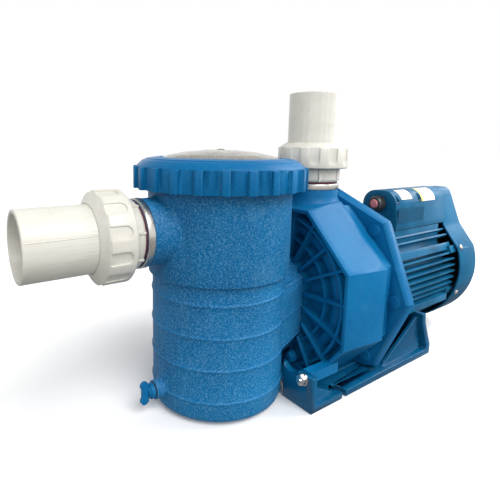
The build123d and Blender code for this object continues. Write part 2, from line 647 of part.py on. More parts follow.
def make_rotor_core():
    core = on_shaft() * tube(98, 210, 57.4, 17)
    rings = [on_shaft() * tube(low, low + 8, 54, 36) for low in (90, 210)]
    return joined([core] + rings)


def make_motor_shaft():
    return on_shaft() * lathe([
        (-50, 0), (-50, 10), (-27, 10), (-27, 12), (24, 12), (26, 15), (46, 15), (46, 17), (238, 17),
        (238, 12.5), (253, 12.5), (256, 11), (308, 11), (308, 0),
    ])


def bearing(low, bore, outer, width):
    """Sealed ball bearing: two rings with a recessed shield between them."""
    mid = (bore + outer) / 2
    high = low + width
    return on_shaft() * lathe([
        (low, bore + 0.03), (low, mid - 4), (low + 1, mid - 3), (low + 1, mid + 3), (low, mid + 4), (low, outer),
        (high, outer), (high, mid + 4), (high - 1, mid + 3), (high - 1, mid - 3), (high, mid - 4),
        (high, bore + 0.03),
    ])


def make_cooling_fan():
    body = on_shaft() * tube(272, 304, 22, 11) + on_shaft() * tube(272, 275, 94, 20)
    for index in range(7):
        blade = block(272, 304, -1.5, 1.5, 20, 98)
        body = body + Pos(0, 0, SHAFT_Z) * Rot(index * 360 / 7, 0, 0) * blade
    return body


def cover_outline(grow):
    """Round cover with a flat on its near shoulder and a hump, on a plane across the shaft."""
    plane = Plane(origin=(0, 0, SHAFT_Z), x_dir=(0, 1, 0), z_dir=(1, 0, 0))
    facet = Rot(0, 0, 180 - COVER_FACET_ANGLE) * Pos(COVER_FACET + grow + 20, 0) * Rectangle(40, 160)
    return plane * (Circle(COVER_RADIUS + grow) - facet) + section(0, hump_outline(grow))


def cover_solid(grow, x0, x1, rounding):
    body = extrude(Pos(x0, 0, 0) * cover_outline(grow), amount=x1 - x0)
    along = body.edges().filter_by(Axis.X)
    body = fillet([e for e in along if e.center().Z > 284], 14 + grow)
    waist = [e for e in body.edges().filter_by(Axis.X) if 215 < e.center().Z < 245 and e.center().Y < -75]
    body = fillet(waist, 50)
    back = body.faces().sort_by(Axis.X)[-1]
    return fillet(back.edges(), rounding)


def make_fan_cover():
    outside = cover_solid(0, COVER_FRONT_X, COVER_BACK_X, 15)
    inside = cover_solid(-COVER_WALL, COVER_FRONT_X - 1, COVER_BACK_X - COVER_WALL, 12)
    body = outside - inside
    for row in range(-4, 5):
        half = 0.9 * (96 ** 2 - (row * 20) ** 2) ** 0.5
        slot = block(COVER_BACK_X - 12, COVER_BACK_X + 5, -half, half, SHAFT_Z + row * 20 - 4, SHAFT_Z + row * 20 + 4)
        bridge = block(COVER_BACK_X - 13, COVER_BACK_X + 6, -4, 4, 0, 300)
        body = body - (slot - bridge)
    for angle in COVER_SCREW_ANGLES:
        body = body - around(angle, 120, FRAME_BACK_X + 28) * rod(0, 20, 2.4)
    return body


def make_cover_screws():
    screws = []
    for angle in COVER_SCREW_ANGLES:
        screw = lathe([(0, 0), (0, 2), (19.5, 2), (19.5, 5), (21, 5), (23, 3), (23, 0)])
        screws.append(around(angle, 110.5, FRAME_BACK_X + 28) * screw)
    return group(screws)


def box_solid(grow, x0, x1):
    """Arched terminal box, lower edges buried in the motor."""
    right = [(BOX_HALF + grow, 190), (BOX_HALF + grow, 246), (BOX_HALF - 7 + grow, BOX_TOP_Z + grow)]
    outline = right + [(-y, z) for y, z in reversed(right)]
    body = extrude(Pos(0, BOX_Y, 0) * section(x0, outline), amount=x1 - x0)
    upper = [e for e in body.edges().filter_by(Axis.X) if e.center().Z > 290]
    return fillet(upper, 26)


def make_terminal_box():
    x0, x1, seat = BOX_FRONT_X, COVER_FRONT_X, BOX_SEAT_Z + 1.5
    outside = box_solid(0, x0, x1) & block(x0 - 1, x1 + 1, -150, 150, seat, 400)
    inside = box_solid(-3.5, x0 + 3.5, x1 - 3.5) & block(x0, x1, -150, 150, 100, 400)
    body = outside - inside
    for x in BOX_SCREW_X:
        for y in BOX_SCREW_Y:
            place = Pos(x, y, 0)
            body = body + (place * rod(seat, 300, 7) & outside)
            body = body - place * rod(BOX_SCREW_Z - 3.5, 330, 4.8) - place * rod(200, 300, 2.2)
    body = body - on_shaft() * rod(x0 - 1, x1 + 1, FRAME_CORE + 1.5)
    return body - Pos(x0, GLAND_Y, GLAND_Z) * Rot(0, 90, 0) * Cylinder(11.5, 20)


def make_terminal_gasket():
    """Flat on the saddle and curved over the round of the frame."""
    x0, x1 = BOX_FRONT_X + 1, FRAME_BACK_X - 1
    y0, y1 = BOX_Y - BOX_HALF + 2, BOX_Y + BOX_HALF - 2
    border = block(x0, x1, y0, y1, 200, 300) - block(x0 + 22, x1 - 8, y0 + 20, y1 - 20, 200, 300)
    flat = block(x0, x1, y0, y1, BOX_SEAT_Z, BOX_SEAT_Z + 1.5)
    arch = on_shaft() * rod(x0, x1, FRAME_CORE + 1.5) & block(x0, x1, y0, y1, BOX_SEAT_Z, 300)
    body = joined([flat, arch]) & border
    body = body - on_shaft() * rod(x0 - 1, x1 + 1, FRAME_CORE)
    for x in BOX_SCREW_X:
        for y in BOX_SCREW_Y:
            body = body - Pos(x, y, BOX_SEAT_Z) * Cylinder(2.3, 30)
    return body


def make_terminal_screws():
    screws = []
    top = BOX_SCREW_Z
    head = top - 3.5
    for x in BOX_SCREW_X:
        for y in BOX_SCREW_Y:
            tip = screw_tip(y)
            screw = lathe([(tip, 0), (tip, 2.1), (head, 2.1), (head, 4.2), (top - 0.8, 4.2), (top, 3), (top, 0)])
            cross = block(-2.8, 2.8, -0.6, 0.6, top - 1.5, top + 1) + block(-0.6, 0.6, -2.8, 2.8, top - 1.5, top + 1)
            screws.append(Pos(x, y, 0) * (screw - cross))
    return group(screws)


def make_terminal_block():
    floor = BOX_SEAT_Z
    y0, y1, pitch = BOX_Y - 15, BOX_Y + 12, 9.0
    body = block(196, 239, y0, y1, floor, floor + 12) - on_shaft() * rod(150, 250, FRAME_CORE)
    for row in range(3):
        for x in (206, 229):
            body = body + Pos(x, y0 + (row + 0.5) * pitch, floor + 14) * Cylinder(3, 8)
    for row in (1, 2):
        body = body + block(198, 237, y0 + row * pitch - 1, y0 + row * pitch + 1, floor + 11, floor + 20)
    return body


def make_run_capacitor():
    can = lathe([(0, 0), (0, 12), (2, 15), (74, 15), (76, 13), (76, 0)])
    return Pos(112, BOX_Y, 260) * Rot(0, 90, 0) * can


def make_cable_gland():
    """Gland body, lock nut and clamping cap on the front of the terminal box."""
    gland = lathe([(-7.5, 8), (-7.5, 15), (-3.6, 15), (-3.6, 11.3), (0, 11.3), (0, 14.6), (4, 14.6), (4, 13.4),
                   (11, 13.4), (14, 11.4), (15, 11.4), (15, 8)])
    grips = []
    for index in range(12):
        grips.append(Rot(0, 0, index * 30) * block(12, 14.4, -1.3, 1.3, 5, 10.5))
    return Pos(BOX_FRONT_X, GLAND_Y, GLAND_Z) * Rot(0, -90, 0) * joined([gland] + grips)


def make_gland_plug():
    plug = lathe([(2, 0), (2, 8), (15, 8), (16.5, 6.5), (16.5, 0)])
    return Pos(BOX_FRONT_X, GLAND_Y, GLAND_Z) * Rot(0, -90, 0) * plug


def box_sticker(thick, x0, x1, y1, z0):
    """Thin sheet on the near shoulder of the terminal box, from the edge z0 up and over to y1."""
    shell = box_solid(thick, BOX_FRONT_X, COVER_FRONT_X) - box_solid(0, BOX_FRONT_X - 1, COVER_FRONT_X + 1)
    return shell & block(x0, x1, BOX_Y - 60, y1, z0, 400)


def make_rating_plate():
    return box_sticker(0.8, 116, 152, -64, 287.5)


def make_side_label():
    return box_sticker(0.5, 183.5, 233, -62, 281)


def union_nodes(port):
    place = port_place(port)
    collar_end = COLLAR_END[port]
    return {
        port + "_steel_band": place * union_band(),
        port + "_gasket": place * union_gasket(),
        port + "_adaptor": place * union_adaptor(collar_end),
        port + "_union_oring": place * union_oring(collar_end),
        port + "_union_nut": place * union_nut(collar_end),
        port + "_tailpiece": place * union_tailpiece(collar_end, UNION_LENGTH[port]),
    }


def drain_nodes():
    pot = Pos(POT_X - POT_DRAIN_REACH, 0, POT_DRAIN_Z) * Rot(0, -90, 0) * Pos(0, 0, 1.8)
    casing = Pos(FACE_X + 10, DRAIN_Y, DRAIN_Z) * Rot(0, -90, 0) * Pos(0, 0, 1.8)
    ring = tube(-1.8, 0, 10.8, 8.9)
    return {
        "pot_drain_plug": pot * drain_plug(True),
        "pot_drain_oring": pot * ring,
        "casing_drain_plug": casing * drain_plug(False),
        "casing_drain_oring": casing * ring,
    }


def build_all():
    nodes = {
        "strainer_pot": make_strainer_pot(),
        "lid_lock_ring": make_lock_ring(),
        "strainer_lid": make_strainer_lid(),
        "lid_oring": make_lid_oring(),
        "strainer_basket": make_strainer_basket(),
        "basket_handle": make_basket_handle(),
        "neck_seal": on_shaft() * tube(NECK_END_X, NECK_END_X + 3.2, 46.2, 41),
        "volute_casing": make_volute_casing(),
        "seal_plate": make_seal_plate(),
        "casing_oring": on_shaft() * tube(8, 12, PILOT_RADIUS, PILOT_RADIUS - 4),
        "casing_bolts": make_casing_bolts(),
        "diffuser": make_diffuser(),
        "impeller": make_impeller(),
        "seal_seat": make_seal_seat(),
        "seal_head": make_seal_head(),
        "pump_base": make_pump_base(),
        "base_bolts": make_base_bolts(),
        "motor_bracket": make_motor_bracket(),
        "motor_frame": make_motor_frame(),
        "rear_shield": make_rear_shield(),
        "stator_core": make_stator_core(),
        "stator_windings": make_stator_windings(),
        "rotor_core": make_rotor_core(),
        "motor_shaft": make_motor_shaft(),
        "front_bearing": bearing(30, 15, 31, 16),
        "rear_bearing": bearing(238, 12.5, 26, 15),
        "cooling_fan": make_cooling_fan(),
        "fan_cover": make_fan_cover(),
        "fan_cover_screws": make_cover_screws(),
        "terminal_box": make_terminal_box(),
        "terminal_gasket": make_terminal_gasket(),
        "terminal_box_screws": make_terminal_screws(),
        "terminal_block": make_terminal_block(),
        "run_capacitor": make_run_capacitor(),
        "cable_gland": make_cable_gland(),
        "gland_plug": make_gland_plug(),
        "rating_plate": make_rating_plate(),
        "side_label": make_side_label(),
    }
    for port in ("suction", "discharge"):
        nodes.update(union_nodes(port))
    nodes.update(drain_nodes())
    return nodes


os.makedirs("parts", exist_ok=True)
for name, shape in build_all().items():
    export_step(shape, "parts/" + name + ".step")
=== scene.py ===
import json
import math

import bmesh
import bpy
from mathutils import Matrix, Vector


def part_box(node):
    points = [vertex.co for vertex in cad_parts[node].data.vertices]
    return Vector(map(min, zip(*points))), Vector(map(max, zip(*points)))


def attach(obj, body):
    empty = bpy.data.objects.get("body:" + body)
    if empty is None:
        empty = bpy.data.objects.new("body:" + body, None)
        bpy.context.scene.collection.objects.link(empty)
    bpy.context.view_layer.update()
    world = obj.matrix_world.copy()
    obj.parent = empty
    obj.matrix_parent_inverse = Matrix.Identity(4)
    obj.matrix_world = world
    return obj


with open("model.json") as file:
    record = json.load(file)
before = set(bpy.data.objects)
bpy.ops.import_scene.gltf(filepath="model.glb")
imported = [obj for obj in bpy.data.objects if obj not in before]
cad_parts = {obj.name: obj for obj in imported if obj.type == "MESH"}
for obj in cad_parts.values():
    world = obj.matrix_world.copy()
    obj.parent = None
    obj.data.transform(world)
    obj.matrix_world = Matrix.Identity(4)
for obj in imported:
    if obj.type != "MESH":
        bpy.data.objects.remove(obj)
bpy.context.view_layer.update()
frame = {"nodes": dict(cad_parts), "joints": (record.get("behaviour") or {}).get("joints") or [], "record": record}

nodes = frame["nodes"]
slot_of = {s["node"]: s["material_slot"] for s in frame["record"]["subparts"]}
hinge_place = {j["name"]: j["pos_m"] for j in frame["joints"] if j["type"] == "hinge"}
scene = bpy.context.scene


# ---- camera ----

YAW, PITCH, ROLL = math.radians(54.13), math.radians(9.19), math.radians(0.93)
EYE = Vector((-0.60076, -0.49586, 0.37993))
SENSOR_MM, LENS_MM = 36.0, 30.1644
SHIFT_X, SHIFT_Y = 0.07042, -0.07382
VIEW_DEPTH = 100


def make_camera():
    forward = Vector((math.cos(PITCH) * math.cos(YAW), math.cos(PITCH) * math.sin(YAW), -math.sin(PITCH)))
    level = Vector((math.sin(YAW), -math.cos(YAW), 0))
    upright = level.cross(forward)
    right = math.cos(ROLL) * level + math.sin(ROLL) * upright
    up = math.cos(ROLL) * upright - math.sin(ROLL) * level
    data = bpy.data.cameras.new("camera")
    camera = bpy.data.objects.new("camera", data)
    scene.collection.objects.link(camera)
    camera.matrix_world = Matrix((
        (right.x, up.x, -forward.x, EYE.x),
        (right.y, up.y, -forward.y, EYE.y),
        (right.z, up.z, -forward.z, EYE.z),
        (0, 0, 0, 1),
    ))
    data.sensor_width = SENSOR_MM
    data.lens = LENS_MM
    data.shift_x = SHIFT_X
    data.shift_y = SHIFT_Y
    data.clip_end = VIEW_DEPTH
    scene.camera = camera


make_camera()
scene.view_settings.view_transform = "Standard"
scene.view_settings.look = "None"


# ---- materials: node helpers ----

class Surface:
    """A material with one Principled shader and short calls for the nodes that feed it."""

    def __init__(self, name, rough=0.4, metallic=0.0, specular=0.5):
        self.material = bpy.data.materials.new(name)
        self.material.use_nodes = True
        self.tree = self.material.node_tree
        self.tree.nodes.clear()
        out = self.tree.nodes.new("ShaderNodeOutputMaterial")
        self.shader = self.tree.nodes.new("ShaderNodeBsdfPrincipled")
        self.tree.links.new(self.shader.outputs[0], out.inputs[0])
        for socket, value in (("Roughness", rough), ("Metallic", metallic), ("Specular IOR Level", specular)):
            self.shader.inputs[socket].default_value = value
        self.place = self.node("ShaderNodeTexCoord").outputs["Object"]

    def node(self, kind, **settings):
        made = self.tree.nodes.new(kind)
        for key, value in settings.items():
            setattr(made, key, value)
        return made

    def plug(self, source, target):
        """Joins a socket, or sets a plain number or colour."""
        if isinstance(source, bpy.types.NodeSocket):
            self.tree.links.new(source, target)
        elif isinstance(source, (tuple, list)) and len(source) == 3 and target.type == "RGBA":
            target.default_value = (*source, 1)
        else:
            target.default_value = source

    def stretched(self, scale):
        mapping = self.node("ShaderNodeMapping")
        self.plug(self.place, mapping.inputs["Vector"])
        mapping.inputs["Scale"].default_value = scale
        return mapping.outputs[0]

    def noise(self, scale, detail=3.0, rough=0.5, warp=0.0, where=None):
        made = self.node("ShaderNodeTexNoise")
        self.plug(where or self.place, made.inputs["Vector"])
        made.inputs["Scale"].default_value = scale
        made.inputs["Detail"].default_value = detail
        made.inputs["Roughness"].default_value = rough
        made.inputs["Distortion"].default_value = warp
        return made.outputs["Fac"]

    def cells(self, scale, where=None):
        made = self.node("ShaderNodeTexVoronoi", feature="F1")
        self.plug(where or self.place, made.inputs["Vector"])
        made.inputs["Scale"].default_value = scale
        return made.outputs["Distance"]

    def ramp(self, value, low, high, low_out=0.0, high_out=1.0):
        made = self.node("ShaderNodeMapRange")
        self.plug(value, made.inputs["Value"])
        made.inputs["From Min"].default_value = low
        made.inputs["From Max"].default_value = high
        made.inputs["To Min"].default_value = low_out
        made.inputs["To Max"].default_value = high_out
        return made.outputs[0]

    def math(self, operation, a, b=0.0):
        made = self.node("ShaderNodeMath", operation=operation)
        self.plug(a, made.inputs[0])
        self.plug(b, made.inputs[1])
        return made.outputs[0]

    def mix(self, share, a, b):
        made = self.node("ShaderNodeMix", data_type="RGBA", blend_type="MIX")
        self.plug(share, made.inputs["Factor"])
        self.plug(a, made.inputs["A"])
        self.plug(b, made.inputs["B"])
        return made.outputs["Result"]

    def axis(self, letter):
        made = self.node("ShaderNodeSeparateXYZ")
        self.plug(self.place, made.inputs[0])
        return made.outputs[letter]

    def edges(self, radius):
        """Share of edge in a place, from how far a rounded normal turns away from the true one."""
        bevel = self.node("ShaderNodeBevel", samples=4)
        bevel.inputs["Radius"].default_value = radius
        true = self.node("ShaderNodeNewGeometry")
        dot = self.node("ShaderNodeVectorMath", operation="DOT_PRODUCT")
        self.plug(bevel.outputs[0], dot.inputs[0])
        self.plug(true.outputs["Normal"], dot.inputs[1])
        return self.ramp(self.math("SUBTRACT", 1.0, dot.outputs["Value"]), 0.02, 0.25)

    # Ambient occlusion share; the materials use it to paint shade into the colour of corners and crevices.
    def corners(self, distance):
        made = self.node("ShaderNodeAmbientOcclusion", samples=4)
        made.inputs["Distance"].default_value = distance
        return made.outputs["AO"]

    def bump(self, height, distance, strength=1.0, normal=None):
        made = self.node("ShaderNodeBump")
        made.inputs["Strength"].default_value = strength
        made.inputs["Distance"].default_value = distance
        self.plug(height, made.inputs["Height"])
        if normal is not None:
            self.plug(normal, made.inputs["Normal"])
        return made.outputs[0]

    def finish(self, colour=None, rough=None, normal=None):
        for source, name in ((colour, "Base Color"), (rough, "Roughness"), (normal, "Normal")):
            if source is not None:
                self.plug(source, self.shader.inputs[name])
        return self.material


def moulded_plastic(name, base, pale, dark, grain, depth, rough, speck=0.5, specular=0.25):
    """Moulded plastic: fine sandy grain, slow colour drift, dulled patches, pale edges that are part wear and part
    painted highlight, and painted shade in corners.
    """
    s = Surface(name, rough=rough, specular=specular)
    fine = s.noise(grain, 2.0, 0.6)
    coarse = s.noise(grain * 0.35, 3.0, 0.55)
    drift = s.noise(6.0, 3.0, 0.55, 0.4)
    cloud = s.noise(22.0, 4.0, 0.6, 0.8)
    colour = s.mix(s.ramp(drift, 0.35, 0.68), base, dark)
    colour = s.mix(s.ramp(cloud, 0.55, 0.85, 0.0, 0.3), colour, pale)
    colour = s.mix(s.ramp(fine, 0.47, 0.66, 0.0, speck), colour, pale)
    colour = s.mix(s.ramp(fine, 0.48, 0.33, 0.0, speck * 0.7), colour, dark)
    streaks = s.noise(1.0, 3.0, 0.6, where=s.stretched((260, 260, 14)))
    colour = s.mix(s.ramp(streaks, 0.66, 0.8, 0.0, 0.18), colour, pale)
    # pale edges: part edge wear, part painted highlight along every sharp edge
    colour = s.mix(s.math("MULTIPLY", s.edges(0.0016), 0.35), colour, pale)
    # painted shade: colour pulled towards dark where ambient occlusion finds corners and crevices
    shade = s.ramp(s.corners(0.012), 0.2, 0.9, 0.5, 0.0)
    colour = s.mix(shade, colour, dark)
    patch = s.ramp(cloud, 0.3, 0.7, rough - 0.07, rough + 0.1)
    gloss = s.math("ADD", patch, s.ramp(fine, 0.3, 0.7, -0.05, 0.05))
    first = s.bump(fine, depth)
    second = s.bump(coarse, depth * 2.0, 0.7, first)
    third = s.bump(drift, 0.0016, 0.35, second)
    return s.finish(colour, gloss, third)


def painted_metal(name, base, pale, dark, rough):
    """Sprayed paint on cast metal: orange peel, thin paint at the edges with a painted highlight on them, painted
    shade in corners, and small chips.
    """
    s = Surface(name, rough=rough, specular=0.18)
    peel = s.noise(420.0, 2.0, 0.5)
    cast = s.noise(90.0, 4.0, 0.6, 0.3)
    drift = s.noise(9.0, 3.0, 0.5, 0.5)
    colour = s.mix(s.ramp(drift, 0.35, 0.7), base, dark)
    colour = s.mix(s.ramp(cast, 0.55, 0.8, 0.0, 0.3), colour, pale)
    edge = s.edges(0.0014)
    # pale edges: paint thin there, and partly a painted highlight
    colour = s.mix(s.math("MULTIPLY", edge, 0.4), colour, pale)
    chip = s.math("MULTIPLY", edge, s.ramp(s.noise(160.0, 3.0, 0.6), 0.62, 0.66))
    colour = s.mix(s.math("MULTIPLY", chip, 0.6), colour, (0.35, 0.36, 0.36))
    # painted shade: darker where ambient occlusion finds corners and crevices
    colour = s.mix(s.ramp(s.corners(0.014), 0.2, 0.9, 0.6, 0.0), colour, dark)
    gloss = s.ramp(s.noise(30.0, 3.0, 0.6), 0.3, 0.7, rough - 0.06, rough + 0.1)
    first = s.bump(peel, 0.00012, 0.8)
    return s.finish(colour, gloss, s.bump(cast, 0.0005, 0.35, first))


def white_plastic(name):
    """Off-white pipe plastic, half gloss, with faint flow lines, handling marks and painted shade in corners."""
    s = Surface(name, rough=0.3, specular=0.4)
    flow = s.noise(1.0, 3.0, 0.55, 0.6, where=s.stretched((14, 60, 60)))
    cloud = s.noise(18.0, 4.0, 0.6, 0.5)
    fine = s.noise(700.0, 2.0, 0.5)
    colour = s.mix(s.ramp(flow, 0.35, 0.7), (0.66, 0.65, 0.59), (0.61, 0.595, 0.53))
    colour = s.mix(s.ramp(cloud, 0.5, 0.8, 0.0, 0.4), colour, (0.72, 0.71, 0.66))
    smudge = s.math("MULTIPLY", s.ramp(s.noise(45.0, 5.0, 0.7, 1.2), 0.62, 0.72), 0.12)
    colour = s.mix(smudge, colour, (0.45, 0.43, 0.37))
    # painted shade: darker and warmer where ambient occlusion finds corners and crevices
    colour = s.mix(s.ramp(s.corners(0.010), 0.15, 0.85, 0.45, 0.0), colour, (0.50, 0.47, 0.38))
    gloss = s.math("ADD", s.ramp(cloud, 0.3, 0.7, 0.22, 0.38), s.math("MULTIPLY", smudge, 1.5))
    first = s.bump(fine, 0.00004, 0.6)
    return s.finish(colour, gloss, s.bump(flow, 0.0008, 0.25, first))


def brushed(name, along, base=(0.80, 0.77, 0.71), rough=0.26):
    """Brushed steel, its lines running across the direction in which the pattern is squeezed."""
    s = Surface(name, rough=rough, metallic=1.0)
    lines = s.noise(1.0, 4.0, 0.7, where=s.stretched(along))
    stain = s.noise(60.0, 4.0, 0.6, 0.8)
    colour = s.mix(s.ramp(lines, 0.3, 0.7), base, tuple(c * 0.72 for c in base))
    colour = s.mix(s.ramp(stain, 0.55, 0.75, 0.0, 0.35), colour, (0.30, 0.27, 0.23))
    line_gloss = s.ramp(lines, 0.3, 0.7, rough - 0.08, rough + 0.12)
    gloss = s.math("ADD", line_gloss, s.ramp(stain, 0.5, 0.8, 0.0, 0.12))
    return s.finish(colour, gloss, s.bump(lines, 0.00008))


def bright_fastener(name, bright=(0.78, 0.77, 0.74), dull=(0.48, 0.45, 0.40)):
    """Polished metal with fine marks and dull spots."""
    s = Surface(name, rough=0.18, metallic=1.0)
    marks = s.noise(900.0, 3.0, 0.6)
    stain = s.noise(240.0, 3.0, 0.6)
    colour = s.mix(s.ramp(stain, 0.45, 0.75), bright, dull)
    gloss = s.ramp(marks, 0.3, 0.7, 0.12, 0.34)
    return s.finish(colour, gloss, s.bump(marks, 0.00005))


def rubber(name, base, pale, rough=0.62):
    """Rubber with a fine skin and a pale bloom."""
    s = Surface(name, rough=rough, specular=0.35)
    skin = s.noise(850.0, 3.0, 0.6)
    bloom = s.noise(70.0, 4.0, 0.6, 0.6)
    colour = s.mix(s.ramp(bloom, 0.45, 0.8), base, pale)
    gloss = s.ramp(bloom, 0.3, 0.7, rough - 0.1, rough + 0.12)
    return s.finish(colour, gloss, s.bump(skin, 0.00008))


def clear_lid(name):
    """Clear lid, hazed by handling and fine scratches."""
    s = Surface(name, rough=0.12, specular=0.6)
    s.shader.inputs["Transmission Weight"].default_value = 0.72
    s.shader.inputs["IOR"].default_value = 1.5
    haze = s.noise(38.0, 5.0, 0.65, 0.9)
    fine = s.noise(700.0, 3.0, 0.6)
    scratch = s.noise(1.0, 2.0, 0.5, 0.2, where=s.stretched((40, 900, 200)))
    colour = s.mix(s.ramp(haze, 0.4, 0.75), (0.70, 0.68, 0.62), (0.55, 0.53, 0.47))
    colour = s.mix(s.ramp(scratch, 0.68, 0.74, 0.0, 0.5), colour, (0.86, 0.85, 0.80))
    gloss = s.math("ADD", s.ramp(haze, 0.3, 0.7, 0.05, 0.24), s.ramp(scratch, 0.6, 0.7, 0.0, 0.2))
    first = s.bump(fine, 0.00005, 0.5)
    return s.finish(colour, gloss, s.bump(haze, 0.0016, 0.35, first))


def inner_plastic(name, base, pale, rough=0.5):
    """Plain plastic of small or hidden pieces: flow marks, pale edges that are part wear and part painted
    highlight, and fine grain.
    """
    s = Surface(name, rough=rough)
    grain = s.noise(500.0, 3.0, 0.6)
    flow = s.noise(30.0, 4.0, 0.6, 0.7)
    colour = s.mix(s.ramp(flow, 0.35, 0.75), base, pale)
    # pale edges: part edge wear, part painted highlight
    colour = s.mix(s.math("MULTIPLY", s.edges(0.0012), 0.4), colour, pale)
    gloss = s.ramp(flow, 0.3, 0.7, rough - 0.1, rough + 0.12)
    return s.finish(colour, gloss, s.bump(grain, 0.0001))


def laminated_steel(name, base, pale):
    """Stacked steel sheets, with rust stains."""
    s = Surface(name, rough=0.5, metallic=0.8)
    sheets = s.noise(1.0, 2.0, 0.5, where=s.stretched((2200, 30, 30)))
    stain = s.noise(50.0, 4.0, 0.6, 0.5)
    colour = s.mix(s.ramp(sheets, 0.3, 0.7), base, pale)
    colour = s.mix(s.ramp(stain, 0.55, 0.8, 0.0, 0.4), colour, (0.16, 0.10, 0.06))
    gloss = s.ramp(stain, 0.3, 0.7, 0.38, 0.62)
    return s.finish(colour, gloss, s.bump(sheets, 0.00015))


def copper(name):
    """Wound copper wire: close turns, darker between them."""
    s = Surface(name, rough=0.35, metallic=0.9)
    turns = s.cells(1.0, where=s.stretched((90, 700, 700)))
    stain = s.noise(60.0, 3.0, 0.6)
    colour = s.mix(s.ramp(turns, 0.1, 0.6), (0.55, 0.24, 0.10), (0.20, 0.07, 0.03))
    gloss = s.ramp(stain, 0.3, 0.7, 0.25, 0.45)
    return s.finish(colour, gloss, s.bump(turns, 0.0006))


def blank_sheet(name, base, dark, rough, stripe=None):
    """Blank plate or sticker: paper-like grain, darker edges, and a coloured stripe where asked."""
    s = Surface(name, rough=rough)
    fine = s.noise(900.0, 3.0, 0.6)
    cloud = s.noise(60.0, 4.0, 0.6, 0.4)
    colour = s.mix(s.ramp(cloud, 0.4, 0.8), base, dark)
    if stripe:
        at, width, tint = stripe
        across = s.axis("X")
        past_start = s.math("GREATER_THAN", across, at)
        before_end = s.math("LESS_THAN", across, at + width)
        colour = s.mix(s.math("MULTIPLY", past_start, before_end), colour, tint)
    colour = s.mix(s.math("MULTIPLY", s.edges(0.0012), 0.5), colour, dark)
    gloss = s.ramp(cloud, 0.3, 0.7, rough - 0.08, rough + 0.12)
    return s.finish(colour, gloss, s.bump(fine, 0.00004))


BLUE, BLUE_PALE, BLUE_DARK = (0.003, 0.158, 0.370), (0.100, 0.285, 0.480), (0.001, 0.098, 0.262)
PAINT, PAINT_PALE, PAINT_DARK = (0.008, 0.140, 0.290), (0.050, 0.250, 0.410), (0.003, 0.070, 0.150)
# where along X the label's stripe starts, its width and its colour
LABEL_STRIPE = (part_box("side_label")[0].x, 0.0055, (0.80, 0.62, 0.02))

finishes = {
    "pot_plastic": moulded_plastic("pot plastic", BLUE, BLUE_PALE, BLUE_DARK,
                                   480.0, 0.00024, 0.42, 0.65, 0.16),
    "casing_plastic": moulded_plastic("casing plastic", (0.001, 0.145, 0.350), (0.028, 0.225, 0.430),
                                      (0.001, 0.100, 0.265), 700.0, 0.00014, 0.34, 0.3, 0.13),
    "base_plastic": moulded_plastic("base plastic", (0.001, 0.100, 0.225), (0.03, 0.19, 0.35),
                                    (0.001, 0.065, 0.155), 700.0, 0.00006, 0.22, 0.15, 0.3),
    "motor_paint": painted_metal("motor paint", PAINT, PAINT_PALE, PAINT_DARK, 0.34),
    "clear_plastic": clear_lid("clear plastic"),
    "white_pvc": white_plastic("white pipe plastic"),
    "steel": brushed("brushed steel", (30, 30, 30)),
    "bright_steel": bright_fastener("bright steel"),
    "dark_red_rubber": rubber("dark red rubber", (0.085, 0.006, 0.006), (0.16, 0.03, 0.03), 0.45),
    "black_rubber": rubber("black rubber", (0.012, 0.012, 0.012), (0.05, 0.05, 0.048)),
    "basket_plastic": inner_plastic("basket plastic", (0.62, 0.61, 0.56), (0.75, 0.74, 0.70), 0.42),
    "inner_plastic": inner_plastic("black inner plastic", (0.018, 0.018, 0.020), (0.07, 0.07, 0.075)),
    "motor_steel": laminated_steel("laminated steel", (0.20, 0.20, 0.21), (0.36, 0.36, 0.37)),
    "copper": copper("copper wire"),
    "shaft_steel": brushed("ground steel", (1800, 20, 20), (0.58, 0.58, 0.58), 0.22),
    "seal_face": inner_plastic("seal faces", (0.03, 0.03, 0.032), (0.12, 0.12, 0.12), 0.25),
    "gland_plastic": inner_plastic("gland plastic", (0.010, 0.010, 0.011), (0.06, 0.06, 0.065), 0.32),
    "plug_red": inner_plastic("red plug plastic", (0.48, 0.070, 0.080), (0.72, 0.30, 0.31), 0.35),
    "blank_plate": blank_sheet("blank plate", (0.80, 0.77, 0.72), (0.55, 0.50, 0.46), 0.35),
    "blank_label": blank_sheet("blank label", (0.86, 0.86, 0.84), (0.70, 0.70, 0.68), 0.32, LABEL_STRIPE),
}
band_x = brushed("brushed steel, suction band", (1400, 25, 25))
band_z = brushed("brushed steel, discharge band", (25, 25, 1400))
# painted shade: the terminal box screws are coloured dark to stand for the shade inside their sunk recesses
screws_painted_shade = bright_fastener("sunk screws painted dark as shade", (0.10, 0.13, 0.16), (0.04, 0.05, 0.06))
SPECIAL = {"suction_steel_band": band_x, "discharge_steel_band": band_z, "terminal_box_screws": screws_painted_shade}


# ---- looks of the CAD nodes ----

SHARP_ANGLE = math.radians(32)
WELD_DISTANCE = 0.00002

EDGE_WIDTH = {
    "pot_plastic": 0.0012, "casing_plastic": 0.0013, "base_plastic": 0.0010, "motor_paint": 0.0008,
    "white_pvc": 0.0007, "steel": 0.0004, "bright_steel": 0.0004, "clear_plastic": 0.0006,
    "basket_plastic": 0.0004, "inner_plastic": 0.0005, "gland_plastic": 0.0006, "plug_red": 0.0006,
}


